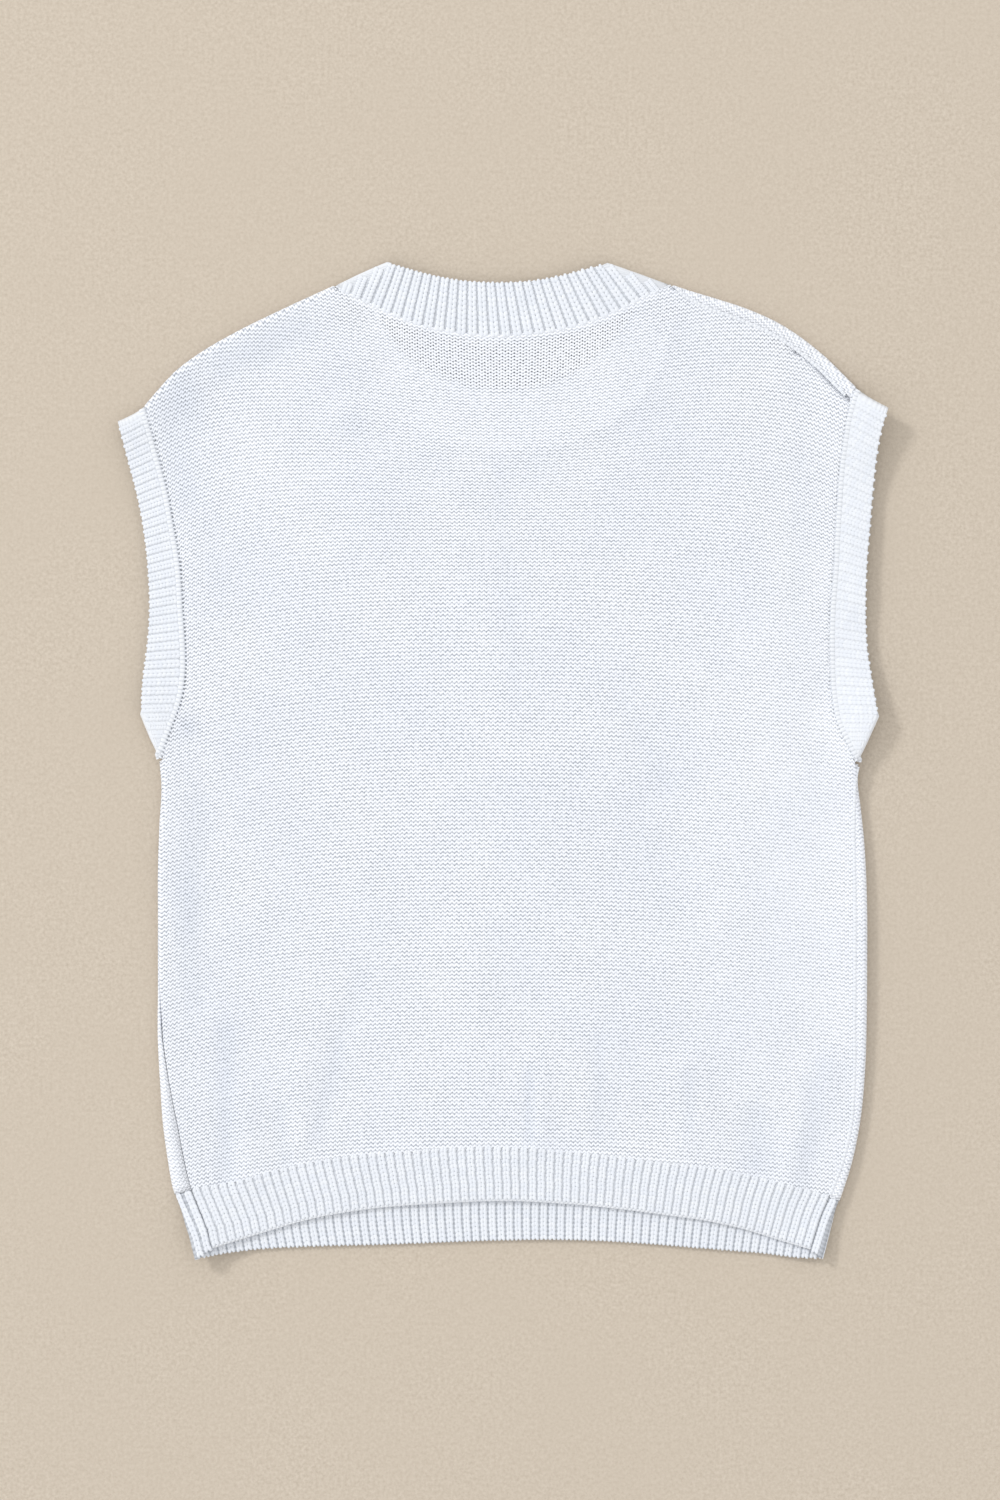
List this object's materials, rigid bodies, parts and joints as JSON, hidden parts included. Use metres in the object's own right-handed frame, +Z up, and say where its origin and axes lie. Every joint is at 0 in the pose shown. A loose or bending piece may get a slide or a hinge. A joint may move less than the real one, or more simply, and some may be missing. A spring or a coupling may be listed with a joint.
{
  "type": "knitted sweater vest",
  "caption": "Crew-neck knitted sweater vest with cap armholes and ribbed bands, laid flat with its back up, for a still life, shelf or wardrobe scene.",
  "frame": {"origin": "on the surface the vest lies on, under the centre of its outline", "axes": "+Y along the vest towards the neck, +Z up from the surface towards the back of the vest, +X across it"},
  "size_m": [0.5224, 0.6772, 0.0176],
  "materials": {
    "back_panel_knit": "matt white purl-faced knit",
    "front_panel_knit": "matt white purl-faced knit",
    "back_hem_rib_knit": "matt white one-by-one rib",
    "front_hem_rib_knit": "matt white one-by-one rib",
    "neck_rib_knit": "matt white one-by-one rib",
    "left_armhole_rib_knit": "matt white one-by-one rib",
    "right_armhole_rib_knit": "matt white one-by-one rib"
  },
  "bodies": {
    "root": {"back_panel": "back_panel_knit", "front_panel": "front_panel_knit", "back_hem_rib": "back_hem_rib_knit", "front_hem_rib": "front_hem_rib_knit", "neck_rib": "neck_rib_knit", "left_armhole_rib": "left_armhole_rib_knit", "right_armhole_rib": "right_armhole_rib_knit"}
  },
  "joints": []
}
